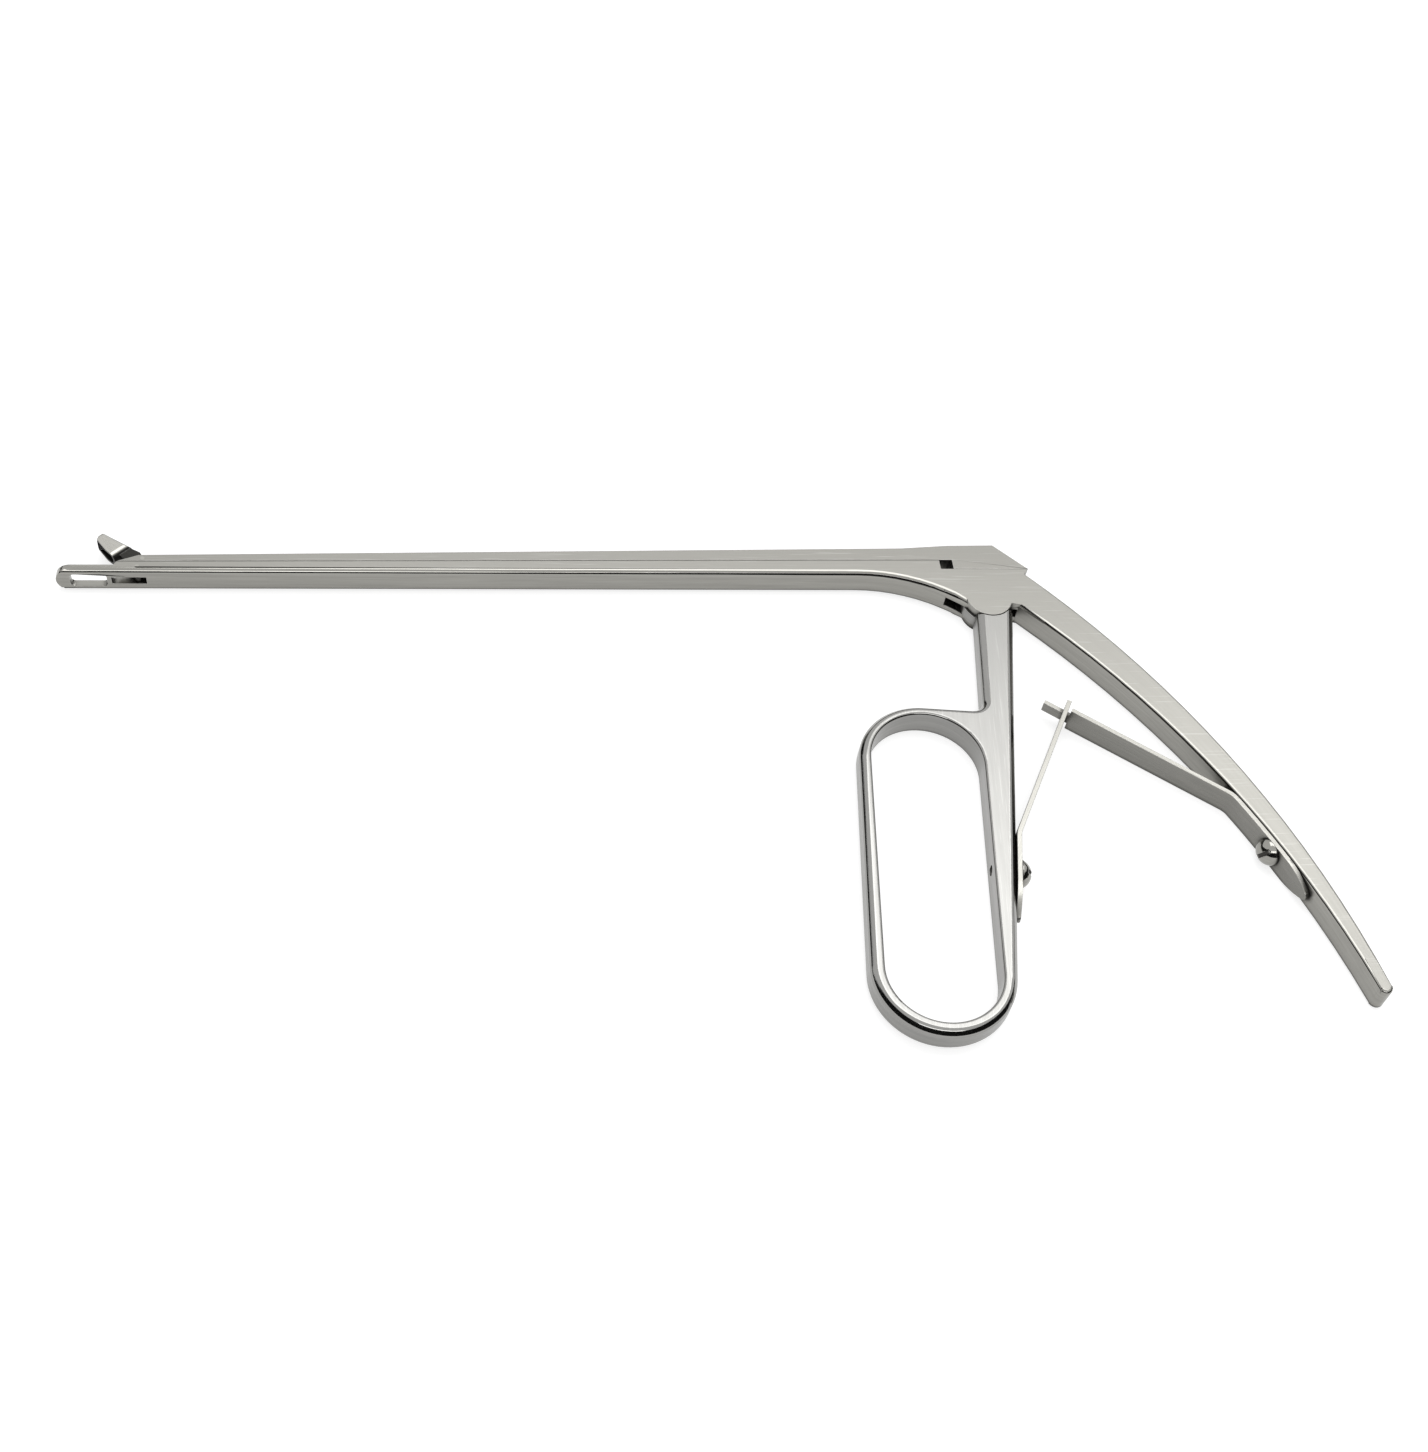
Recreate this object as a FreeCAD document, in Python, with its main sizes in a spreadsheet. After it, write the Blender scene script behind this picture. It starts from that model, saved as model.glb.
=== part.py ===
import FreeCAD, Part
import math
import os

from FreeCAD import Placement, Rotation, Vector

# Cervical biopsy forceps, lying on its side as on an instrument table.
# Millimetres. The handle pivot axis is the Z axis, and the lower side face is at z = 0.
# The shaft runs along -X to the jaws, the handles hang towards -Y, and +Z is up through the plate.

SIZES = {
    # plate thickness and small clearances
    "plate": 6.4,
    "slide_gap": 0.04,
    "pin_gap": 0.04,
    "side_gap": 0.05,
    "shaft_chamfer": 0.7,
    "handle_chamfer": 0.4,
    # fixed shaft and lower jaw
    "jaw_reach": 202.5,
    "shaft_base": 6.9,
    "basket_depth": 1.75,
    "nose_from_tip": 12.5,
    "nose_lean_depth": 0.45,
    "bar_front": 2.7,
    "bar_rear": 4.2,
    "window_start": 2.95,
    "window_length": 7.6,
    "window_width": 3.6,
    "window_corner": 0.9,
    "basket_wall": 0.95,
    "channel_width": 1.9,
    "channel_rear": 1.75,
    # body
    "belly_radius": 38.0,
    "lobe_radius": 5.2,
    "lobe_entry": -160.78,
    "step_x": 9.6,
    "deck_height": 8.5,
    "deck_rear": 10.7,
    "tang_slot_front": 9.4,
    "tang_slot_rear": 6.6,
    # rear handle
    "bow_out_x": 9.8,
    "bow_out_y": 7.2,
    "bow_mid_x": 40.9,
    "bow_mid_y": -36.4,
    "bow_end_x": 63.5,
    "bow_end_y": -101.2,
    "root_station": 0.04,
    "root_width": 8.6,
    "middle_width": 6.0,
    "tip_width": 3.0,
    "tip_bulge": 1.5,
    "lobe_exit": -21.0,
    # sliding shaft
    "nose_height": 4.85,
    "nose_bevel": 5.3,
    "hump_front": 18.0,
    "hump_low": 14.9,
    "hump_rear": 7.0,
    "hump_high": 15.8,
    "crest_rear": 3.4,
    "crest_height": 16.0,
    "stroke_room": 2.9,
    "fork_depth": 8.6,
    "pocket_gap": 0.2,
    # T-shaped guide lugs
    "lug_length": 6.0,
    "lug_neck": 1.5,
    "lug_head": 2.9,
    "lug_neck_height": 0.8,
    "lug_head_height": 0.9,
    "lug_root": 0.7,
    "front_lug_from_tip": 30.5,
    "rear_lug_from_pivot": 38.0,
    # jaw
    "jaw_swing": 46.0,
    "jaw_lever": 2.495,
    "hinge_from_tip": 16.9,
    "hinge_height": 1.35,
    "hinge_pin_radius": 0.45,
    "drive_pin_radius": 0.45,
    "eye_radius": 0.97,
    "cup_wall": 0.5,
    "cup_fit": 0.16,
    "cup_bite": 1.4,
    "cup_skirt": 1.0,
    "cup_heel_round": 1.5,
    "cup_toe_back": 0.9,
    "cup_toe_rise": 0.6,
    "cup_toe_length": 4.5,
    "cup_arch": 1.9,
    "cup_top_front": 10.5,
    "cup_top_rear": 12.5,
    "cup_heel_drop": 0.4,
    "cup_ridge_back": 2.2,
    "cup_ridge_rise": 0.5,
    "cup_brow_back": 0.75,
    "cup_brow_rise": 0.2,
    "cup_brow_drop": 1.3,
    "tail_overlap": 0.6,
    "tail_crest_back": 4.4,
    "tail_crest_rise": 4.1,
    "tail_elbow": 1.6,
    "tail_elbow_drop": 0.2,
    # ring handle
    "handle_swing": 12.0,
    "tang_lever": 9.31,
    "tang_thickness": 2.4,
    "tang_ball": 1.5,
    "tang_neck": 2.0,
    "tang_disc": 5.75,
    "shoulder_gap": 0.15,
    "shoulder_rear": -40.0,
    "shank_left_x": -3.45,
    "shank_left_y": -4.1,
    "shank_right_x": 4.9,
    "shank_right_y": -3.95,
    "shank_left_low_x": -6.6,
    "shank_left_low_y": -29.0,
    "ring_top_x": -21.4,
    "ring_top_y": -44.8,
    "ring_top_radius": 12.0,
    "ring_low_x": -26.4,
    "ring_low_y": -94.5,
    "ring_low_radius": 11.65,
    "rim_top": 2.5,
    "rim_low": 2.9,
    "crown_angle": 85.0,
    "throat_radius": 2.6,
    "ring_chamfer": 1.1,
    "finger_round": 0.7,
    # pivot screw
    "pivot_radius": 1.6,
    "pivot_head_radius": 2.4,
    "pivot_head_height": 1.3,
    "pivot_skin": 1.1,
    "pivot_slot": 0.6,
    # leaf springs and their screws
    "leaf_thickness": 1.0,
    "leaf_width": 6.0,
    "leaf_bend": 5.0,
    "leaf_gap": 0.12,
    "leaf_seat": 0.08,
    "tail_taper": 8.0,
    "tail_tip": 1.0,
    "front_foot_top": 61.0,
    "front_foot_end": 80.0,
    "front_screw_at": 68.6,
    "rear_foot_top": 0.572,
    "rear_foot_end": 0.79,
    "rear_screw_at": 0.68,
    "cross_x": 11.6,
    "cross_y": -31.2,
    "plate_beyond": 2.1,
    "tongue_width": 2.5,
    "tongue_length": 5.0,
    "shoulder_back": 1.2,
    "slot_play": 0.2,
    "slot_height": 2.6,
    "screw_radius": 1.1,
    "screw_head_radius": 3.1,
    "screw_head_height": 2.4,
    "screw_slot_width": 0.8,
    "screw_slot_depth": 1.1,
    "screw_depth": 3.6,
}

doc = FreeCAD.newDocument("CervicalBiopsyForceps")
sheet = doc.addObject("Spreadsheet::Sheet", "Sizes")
for row, (alias, value) in enumerate(SIZES.items(), start=1):
    sheet.set("A%d" % row, alias)
    sheet.set("B%d" % row, str(value))
    sheet.setAlias("B%d" % row, alias)
doc.recompute()


def size(alias):
    return float(sheet.get(alias))


def polar(radius, degrees, centre=(0.0, 0.0)):
    angle = math.radians(degrees)
    return (centre[0] + radius * math.cos(angle), centre[1] + radius * math.sin(angle))


def heading(start, end):
    return math.degrees(math.atan2(end[1] - start[1], end[0] - start[0]))


def flat(point, z=0.0):
    return Vector(point[0], point[1], z)


def lines_meet(a, heading_a, b, heading_b):
    """Crossing point of two lines, each given by a point and a heading."""
    ax, ay = polar(1.0, heading_a)
    bx, by = polar(1.0, heading_b)
    along = ((b[0] - a[0]) * by - (b[1] - a[1]) * bx) / (ax * by - ay * bx)
    return polar(along, heading_a, a)


def corner_arc(corner, heading_a, heading_b, radius):
    """Start, middle and end of the arc that rounds a corner with legs along two headings."""
    half = (heading_b - heading_a) / 2
    leg = radius / abs(math.tan(math.radians(half)))
    centre = polar(radius / abs(math.sin(math.radians(half))), (heading_a + heading_b) / 2, corner)
    middle = polar(radius, heading(centre, corner), centre)
    return polar(leg, heading_a, corner), middle, polar(leg, heading_b, corner)


def circle_through(a, b, c):
    circle = Part.Arc(flat(a), flat(b), flat(c)).toShape().Curve
    return (circle.Center.x, circle.Center.y), circle.Radius


def tangent_points(centre_a, radius_a, centre_b, radius_b, side):
    """Ends of the outer tangent line of two circles, on the left (1) or right (-1) from a to b."""
    line = heading(centre_a, centre_b)
    tilt = math.degrees(math.acos((radius_a - radius_b) / math.dist(centre_a, centre_b)))
    direction = line + side * tilt
    return polar(radius_a, direction, centre_a), polar(radius_b, direction, centre_b)


# Outlines are lists of steps: a point for a straight edge, or (middle, end) for an arc.
def wire_edges(steps):
    def end_of(step):
        return step[1] if isinstance(step[0], tuple) else step

    edges = []
    start = end_of(steps[-1])
    for step in steps:
        end = end_of(step)
        if isinstance(step[0], tuple):
            edges.append(Part.Arc(flat(start), flat(step[0]), flat(end)))
        else:
            edges.append(Part.LineSegment(flat(start), flat(end)))
        start = end
    return edges


def origin_plane(body, role):
    for feature in body.Origin.OriginFeatures:
        if feature.Role == role:
            return feature
    raise RuntimeError("no plane " + role)


def plate_body(name, outlines, thickness, lift=None):
    """A flat piece: closed outlines on the XY plane, padded towards +Z."""
    body = doc.addObject("PartDesign::Body", name)
    sketch = body.newObject("Sketcher::SketchObject", name + "_outline")
    sketch.AttachmentSupport = [(origin_plane(body, "XY_Plane"), "")]
    sketch.MapMode = "FlatFace"
    if lift:
        sketch.setExpression("AttachmentOffset.Base.z", lift)
    for steps in outlines:
        for edge in wire_edges(steps):
            sketch.addGeometry(edge, False)
    pad = body.newObject("PartDesign::Pad", name + "_pad")
    pad.Profile = sketch
    pad.setExpression("Length", thickness)
    sketch.Visibility = False
    doc.recompute()
    return body


def dress_edges(body, kind, radius, picked):
    """Rounds or chamfers the edges of the body's last feature that picked() accepts."""
    base = body.Tip
    names = []
    for number, edge in enumerate(base.Shape.Edges, start=1):
        if picked(edge):
            names.append("Edge%d" % number)
    feature = body.newObject("PartDesign::" + kind, body.Name + "_" + kind)
    feature.Base = (base, names)
    feature.setExpression("Radius" if kind == "Fillet" else "Size", radius)
    doc.recompute()
    return feature


def face_edge(edge):
    """True for an edge that lies flat on one of the plate's two side faces."""
    box = edge.BoundBox
    on_face = abs(box.ZMin) < 1e-6 or abs(box.ZMin - size("plate")) < 1e-6
    return on_face and box.ZLength < 1e-6


def bind(item, name, value):
    """Sets a size from the sheet when it is written as an expression, or as a plain number."""
    if isinstance(value, str):
        item.setExpression(name, value)
    else:
        setattr(item, name, value)


def put(item, base, rotation=Rotation()):
    item.Placement = Placement(Vector(*[0.0 if isinstance(v, str) else v for v in base]), rotation)
    for key, value in zip("xyz", base):
        if isinstance(value, str):
            item.setExpression("Placement.Base." + key, value)
    return item


def block(name, low, sizes):
    """A box from its lowest corner and its three sizes."""
    item = doc.addObject("Part::Box", name)
    for key, value in zip(("Length", "Width", "Height"), sizes):
        bind(item, key, value)
    return put(item, low)


def rod(name, radius, length, base, direction=Vector(0, 0, 1)):
    """A cylinder from the centre of its base."""
    item = doc.addObject("Part::Cylinder", name)
    bind(item, "Radius", radius)
    bind(item, "Height", length)
    return put(item, base, Rotation(Vector(0, 0, 1), direction))


def fused(name, items):
    item = doc.addObject("Part::MultiFuse", name)
    item.Shapes = items
    item.Refine = True
    return item


def cut(name, base, tools):
    item = doc.addObject("Part::Cut", name)
    item.Base = base
    item.Tool = tools[0] if len(tools) == 1 else fused(name + "_tools", tools)
    item.Refine = True
    doc.recompute()
    return item


sub_parts = {}


def keep(node, item):
    item.Label = node
    sub_parts[node] = item


MID = "Sizes.plate / 2"
BASE = "Sizes.shaft_base"
HINGE_Y = "Sizes.shaft_base + Sizes.hinge_height"
HINGE_X = "Sizes.hinge_from_tip - Sizes.jaw_reach"
NOSE_X = "Sizes.nose_from_tip - Sizes.jaw_reach"
DRIVE_X = HINGE_X + " + Sizes.jaw_lever * sin(Sizes.jaw_swing / 2)"
DRIVE_Y = HINGE_Y + " + Sizes.jaw_lever * cos(Sizes.jaw_swing / 2)"
WINDOW_X = "Sizes.window_start - Sizes.jaw_reach"
TANG_FLOOR = MID + " - Sizes.tang_thickness / 2 - Sizes.side_gap"
TANG_ROOM = "Sizes.tang_thickness + 2 * Sizes.side_gap"

plate = size("plate")
base_y = size("shaft_base")
hinge_x = size("hinge_from_tip") - size("jaw_reach")
nose_x = size("nose_from_tip") - size("jaw_reach")
front_lug_x = size("front_lug_from_tip") - size("jaw_reach")
rear_lug_x = -size("rear_lug_from_pivot")
hinge = (hinge_x, base_y + size("hinge_height"))
stroke = 2 * size("jaw_lever") * math.sin(math.radians(size("jaw_swing") / 2))


def seam_y(x):
    """Height of the sliding face between the two bars."""
    share = (x - nose_x) / (-size("step_x") - nose_x)
    return base_y + size("bar_front") + (size("bar_rear") - size("bar_front")) * share


# Rear handle: an outer arc through three points, and an inner arc set in from it by the widths
bow_start = (size("bow_out_x"), size("bow_out_y"))
bow_middle = (size("bow_mid_x"), size("bow_mid_y"))
bow_end = (size("bow_end_x"), size("bow_end_y"))
bow_centre, bow_radius = circle_through(bow_start, bow_middle, bow_end)


def bow_inner_point(station, width):
    first = heading(bow_centre, bow_start)
    last = heading(bow_centre, bow_end)
    return polar(bow_radius - width, first + (last - first) * station, bow_centre)


bow_root = bow_inner_point(size("root_station"), size("root_width"))
bow_inner = bow_inner_point(0.5, size("middle_width"))
bow_tip = bow_inner_point(1.0, size("tip_width"))
grip_centre, grip_radius = circle_through(bow_root, bow_inner, bow_tip)
tip_middle = ((bow_tip[0] + bow_end[0]) / 2, (bow_tip[1] + bow_end[1]) / 2)
tip_nose = polar(size("tip_bulge"), heading(bow_centre, bow_end) - 90, tip_middle)

# Fixed shaft: lower jaw, bar, slotted body with its lobe, and rear handle in one forging
lobe = size("lobe_radius")
lobe_entry = polar(lobe, size("lobe_entry"))
belly_drop = base_y - lobe_entry[1]
belly_run = math.sqrt(belly_drop * (2 * size("belly_radius") - belly_drop))
belly_centre = (lobe_entry[0] - belly_run, base_y - size("belly_radius"))
belly_angle = (heading(belly_centre, lobe_entry) + 90) / 2
basket_rim = base_y + size("basket_depth")
shaft_outline = [
    (-size("jaw_reach"), base_y),
    (belly_centre[0], base_y),
    (polar(size("belly_radius"), belly_angle, belly_centre), lobe_entry),
    (polar(lobe, -90), polar(lobe, size("lobe_exit"))),
    bow_root,
    (bow_inner, bow_tip),
    (tip_nose, bow_end),
    (bow_middle, bow_start),
    (size("deck_rear"), size("deck_height")),
    (-size("step_x"), size("deck_height")),
    (-size("step_x"), seam_y(-size("step_x"))),
    (nose_x, seam_y(nose_x)),
    (nose_x - size("nose_lean_depth"), basket_rim),
    (-size("jaw_reach"), basket_rim),
]
shaft = plate_body("shaft_forging", [shaft_outline], "Sizes.plate")
dress_edges(
    shaft,
    "Chamfer",
    "Sizes.handle_chamfer",
    lambda edge: face_edge(edge) and edge.BoundBox.Center.x > size("deck_rear") + 1,
)
dress_edges(
    shaft,
    "Chamfer",
    "Sizes.shaft_chamfer",
    lambda edge: face_edge(edge) and edge.BoundBox.Center.x < -1 and edge.BoundBox.YMax < base_y + 0.001,
)

ALONG_Y = Vector(0, 1, 0)
nose_block = cut(
    "nose_corners",
    block(
        "nose_stock",
        ("-Sizes.jaw_reach - 1", BASE + " - 1", "-1"),
        (MID + " + 1", "Sizes.basket_depth + 2", "Sizes.plate + 2"),
    ),
    [
        rod(
            "nose_round",
            MID,
            "Sizes.basket_depth + 4",
            ("-Sizes.jaw_reach + " + MID, BASE + " - 2", MID),
            ALONG_Y,
        )
    ],
)


def rounded_slot(name, start, length, width, corner):
    """A cutter through the lower jaw: a rectangle with round corners, centred in the plate."""
    low = BASE + " - 2"
    deep = "Sizes.basket_depth + 4"
    side = MID + " - " + width + " / 2"
    inner = " - 2 * " + corner
    pieces = [
        block(name + "_long", (start, low, side + " + " + corner), (length, deep, width + inner)),
        block(name + "_wide", (start + " + " + corner, low, side), (length + inner, deep, width)),
    ]
    for number in range(4):
        x = " + " + corner if number % 2 else " + " + length + " - " + corner
        z = " + " + corner if number < 2 else " + " + width + " - " + corner
        centre = (start + x, low, side + z)
        pieces.append(rod("%s_corner_%d" % (name, number), corner, deep, centre, ALONG_Y))
    return fused(name, pieces)


window = rounded_slot(
    "basket_window", WINDOW_X, "Sizes.window_length", "Sizes.window_width", "Sizes.window_corner"
)
CHANNEL_X = WINDOW_X + " + Sizes.window_length + Sizes.basket_wall"
jaw_channel = block(
    "jaw_channel",
    (CHANNEL_X, BASE + " - 1", MID + " - Sizes.channel_width / 2"),
    (
        HINGE_X + " + Sizes.channel_rear - (" + CHANNEL_X + ")",
        "Sizes.bar_rear + 2",
        "Sizes.channel_width",
    ),
)
hinge_hole = rod(
    "hinge_hole", "Sizes.hinge_pin_radius", "Sizes.plate + 2", (HINGE_X, HINGE_Y, "-1")
)
tang_slot = block(
    "tang_slot",
    ("-Sizes.tang_slot_front", "-2 * Sizes.lobe_radius", TANG_FLOOR),
    (
        "Sizes.tang_slot_front + Sizes.tang_slot_rear",
        "2 * Sizes.lobe_radius + Sizes.crest_height",
        TANG_ROOM,
    ),
)
pivot_hole = rod(
    "pivot_hole",
    "Sizes.pivot_radius + Sizes.pin_gap / 2",
    "Sizes.plate - Sizes.pivot_skin",
    (0, 0, 0),
)
pivot_recess = rod(
    "pivot_recess",
    "Sizes.pivot_head_radius + Sizes.pin_gap",
    "Sizes.pivot_head_height + Sizes.pin_gap",
    (0, 0, 0),
)


def guide_tools(name, lug_x, gap, front_extra, entry):
    """The T section of a guide: with no gap it is the lug, with the gap and travel it is the groove."""
    seam = seam_y(lug_x)
    half = size("lug_length") / 2
    neck_floor = seam - size("lug_neck_height") - size("slide_gap")
    head_floor = neck_floor - size("lug_head_height")
    length = size("lug_length") + front_extra + gap * 2
    start = lug_x - half - front_extra - gap
    roof = seam + size("lug_root")
    neck = block(
        name + "_neck",
        (start, neck_floor - gap, MID + " - Sizes.lug_neck / 2 - %g" % gap),
        (length, roof - neck_floor + gap, "Sizes.lug_neck + %g" % (2 * gap)),
    )
    head_top = neck_floor + gap
    head = block(
        name + "_head",
        (start, head_floor - gap, MID + " - Sizes.lug_head / 2 - %g" % gap),
        (length, head_top - head_floor + gap, "Sizes.lug_head + %g" % (2 * gap)),
    )
    shapes = [neck, head]
    if entry:
        shapes.append(
            block(
                name + "_entry",
                (start + length, head_floor - gap, MID + " - Sizes.lug_head / 2 - %g" % gap),
                (size("lug_length") + 4 * gap, roof - head_floor + gap, "Sizes.lug_head + %g" % (2 * gap)),
            )
        )
    return fused(name, shapes)


front_groove = guide_tools("front_groove", front_lug_x, size("side_gap"), stroke, True)
rear_groove = guide_tools("rear_groove", rear_lug_x, size("side_gap"), stroke, True)

# Rear leaf spring: places along the inner face of the rear handle, as shares of its sweep
grip_first = heading(grip_centre, bow_root)
grip_last = heading(grip_centre, bow_tip)


def grip_angle(station):
    return grip_first + (grip_last - grip_first) * size(station)


rear_screw_angle = grip_angle("rear_screw_at")
rear_screw_seat = polar(grip_radius, rear_screw_angle, grip_centre)
rear_screw_out = Vector(*polar(1.0, rear_screw_angle + 180), 0)


def screw_hole(name, seat, outward, depth):
    """A tapped hole that goes in from the seat, against the outward direction."""
    start = (seat[0] + outward.x, seat[1] + outward.y, MID)
    return rod(name, "Sizes.screw_radius + Sizes.pin_gap / 2", depth + " + 1", start, outward * -1)


keep(
    "fixed_shaft",
    cut(
        "fixed_shaft_cut",
        shaft,
        [
            nose_block,
            window,
            jaw_channel,
            hinge_hole,
            tang_slot,
            pivot_hole,
            pivot_recess,
            front_groove,
            rear_groove,
            screw_hole("rear_screw_hole", rear_screw_seat, rear_screw_out, "Sizes.screw_depth"),
        ],
    ),
)

# Sliding shaft: bar with a bevelled, forked nose, deep rear block and two T-shaped lugs
gap = size("slide_gap")
nose_top = (nose_x + size("nose_bevel"), base_y + size("nose_height"))
block_face = -size("step_x") + size("stroke_room")
deck = size("deck_height") + gap
slide_outline = [
    (nose_x, seam_y(nose_x) + gap),
    nose_top,
    (-size("hump_front"), size("hump_low")),
    (-size("hump_rear"), size("hump_high")),
    (size("crest_rear"), size("crest_height")),
    (size("deck_rear"), deck + gap),
    (size("deck_rear"), deck),
    (block_face, deck),
    (block_face, seam_y(block_face) + gap),
]
slide = plate_body("slide_forging", [slide_outline], "Sizes.plate")
dress_edges(
    slide,
    "Chamfer",
    "Sizes.shaft_chamfer / 2",
    lambda edge: face_edge(edge) and edge.BoundBox.YMin > base_y + size("nose_height") - 0.001,
)
fork = block(
    "fork_channel",
    (NOSE_X + " - 1", BASE, MID + " - Sizes.channel_width / 2"),
    ("Sizes.fork_depth + 1", "2 * Sizes.nose_height", "Sizes.channel_width"),
)
drive_hole = rod("drive_hole", "Sizes.drive_pin_radius", "Sizes.plate + 2", (DRIVE_X, DRIVE_Y, "-1"))
ball = polar(size("tang_lever"), 90 - size("handle_swing") / 2)
tang_pocket = block(
    "tang_pocket",
    (
        ball[0] - size("tang_ball") - size("pin_gap"),
        "Sizes.deck_height - 1",
        TANG_FLOOR,
    ),
    (
        2 * (size("tang_ball") + size("pin_gap")),
        "Sizes.tang_lever + Sizes.tang_ball + Sizes.pocket_gap - Sizes.deck_height + 1",
        TANG_ROOM,
    ),
)
lugs = [
    guide_tools("front_lug", front_lug_x, 0.0, 0.0, False),
    guide_tools("rear_lug", rear_lug_x, 0.0, 0.0, False),
]
lugged_slide = fused("slide_with_lugs", [slide] + lugs)
keep("sliding_shaft", cut("sliding_shaft_cut", lugged_slide, [fork, drive_hole, tang_pocket]))

# Pins of the jaw, ground flush with the side faces
hinge_pin = rod("hinge_pin", "Sizes.hinge_pin_radius", "Sizes.plate", (HINGE_X, HINGE_Y, 0))
keep("jaw_hinge_pin", hinge_pin)
drive_pin = rod("drive_pin", "Sizes.drive_pin_radius", "Sizes.plate", (DRIVE_X, DRIVE_Y, 0))
keep("jaw_drive_pin", drive_pin)

# Upper jaw, drawn closed and then opened about its hinge
cup_front = size("window_start") - size("jaw_reach") + size("cup_fit")
cup_rear = cup_front + size("window_length") - 2 * size("cup_fit")
cup_half = size("window_width") / 2 - size("cup_fit")
cup_floor = basket_rim - size("cup_bite")
closed_drive = polar(size("jaw_lever"), 90 + size("jaw_swing") / 2, hinge)
tail_half = size("channel_width") / 2 - size("side_gap")


def cup_profile(inset):
    """Side view of the cup, from its cutting rim to its sloping back."""
    front = cup_front + inset
    rear = cup_rear - inset
    low = cup_floor - (size("cup_skirt") if inset else 0.0)
    heel = size("cup_top_rear") - inset - size("cup_heel_drop")
    top = size("cup_top_front") - inset
    brow = (front + size("cup_brow_back"), top + size("cup_brow_rise"))
    return [
        (rear, low),
        (rear, heel),
        (front + size("cup_ridge_back"), top + size("cup_ridge_rise")),
        (brow, (front, top - size("cup_brow_drop"))),
        (front + size("cup_toe_back"), low + size("cup_toe_rise")),
        (front + size("cup_toe_length"), low),
    ]


def prism(steps, low, high):
    """A solid from a closed outline, between two heights."""
    wire = Part.Wire([edge.toShape() for edge in wire_edges(steps)])
    solid = Part.Face(wire).extrude(Vector(0, 0, high - low))
    solid.translate(Vector(0, 0, low))
    return solid


def cup_plan(inset):
    """The cup seen from above, as a solid taller than the jaw, rounder at the heel than at the toe."""
    half = cup_half - inset
    corner = Vector(cup_front + inset, 0, plate / 2 - half)
    solid = Part.makeBox(cup_rear - cup_front - 2 * inset, 2 * size("cup_top_rear"), 2 * half, corner)
    middle = (cup_front + cup_rear) / 2
    upright = [edge for edge in solid.Edges if edge.BoundBox.YLength > size("cup_top_rear")]
    heel = [edge for edge in upright if edge.BoundBox.XMin > middle]
    solid = solid.makeFillet(size("cup_heel_round") - inset, heel)
    upright = [edge for edge in solid.Edges if edge.BoundBox.YLength > size("cup_top_rear")]
    toe = [edge for edge in upright if edge.BoundBox.XMax < cup_front + inset + 0.001]
    return solid.makeFillet(size("window_corner") - size("cup_fit") - inset, toe)


def cup_arch(inset):
    """The arched cross-section of the cup's back, as a long bar that follows its slope."""
    ridge = (cup_front + size("cup_ridge_back"), size("cup_top_front") + size("cup_ridge_rise"))
    heel = (cup_rear, size("cup_top_rear") - size("cup_heel_drop"))
    slope = heading(ridge, heel)
    radius = size("cup_arch") - inset
    length = 4 * (cup_rear - cup_front)
    crest = polar(size("cup_arch"), slope - 90, polar(length / 2, slope + 180, ridge))
    axis = Vector(*polar(1.0, slope), 0)
    arch = Part.makeCylinder(radius, length, flat(crest, plate / 2), axis)
    below = Part.makeBox(length, length, 2 * radius, Vector(0, -length, -radius))
    below.rotate(Vector(0, 0, 0), Vector(0, 0, 1), slope)
    below.translate(flat(crest, plate / 2))
    return arch.fuse(below)


def jaw_shape():
    wall = size("cup_wall")
    cup = cup_plan(0.0).common(prism(cup_profile(0.0), 0, plate)).common(cup_arch(0.0))
    hollow = cup_plan(wall).common(prism(cup_profile(wall), 0, plate)).common(cup_arch(wall))
    tail_low = basket_rim + size("cup_fit")
    tail_front = cup_rear - wall
    eye = size("eye_radius")
    tail = [
        (tail_front, tail_low),
        (cup_rear + size("basket_wall") + size("tail_overlap"), tail_low),
        (hinge[0] - size("tail_elbow"), hinge[1] - size("tail_elbow_drop")),
        polar(eye, 215, hinge),
        (polar(eye, 280, hinge), polar(eye, 350, hinge)),
        polar(eye, 20, closed_drive),
        (polar(eye, 60, closed_drive), polar(eye, 100, closed_drive)),
        (hinge[0] - size("tail_crest_back"), hinge[1] + size("tail_crest_rise")),
        (tail_front, size("cup_top_rear") - size("cup_heel_drop") - wall),
    ]
    body = cup.cut(hollow).fuse(prism(tail, plate / 2 - tail_half, plate / 2 + tail_half))
    bore = Part.makeCylinder(size("hinge_pin_radius") + size("pin_gap"), plate, flat(hinge))
    across = size("drive_pin_radius") + size("side_gap")
    nearest = size("jaw_lever") * math.cos(math.radians(size("jaw_swing") / 2)) - size("side_gap")
    furthest = size("jaw_lever") + size("side_gap")
    slot = Part.makeBox(furthest - nearest, 2 * across, plate, Vector(nearest, -across, 0))
    slot = slot.fuse(
        [
            Part.makeCylinder(across, plate, Vector(nearest, 0, 0)),
            Part.makeCylinder(across, plate, Vector(furthest, 0, 0)),
        ]
    )
    slot.rotate(Vector(0, 0, 0), Vector(0, 0, 1), 90 + size("jaw_swing") / 2)
    slot.translate(flat(hinge))
    return body.cut([bore, slot]).removeSplitter()


jaw = doc.addObject("Part::Feature", "jaw")
jaw.Shape = jaw_shape()
jaw.Placement = Placement(Vector(0, 0, 0), Rotation(Vector(0, 0, 1), -size("jaw_swing")), flat(hinge))
keep("upper_jaw", jaw)

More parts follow.
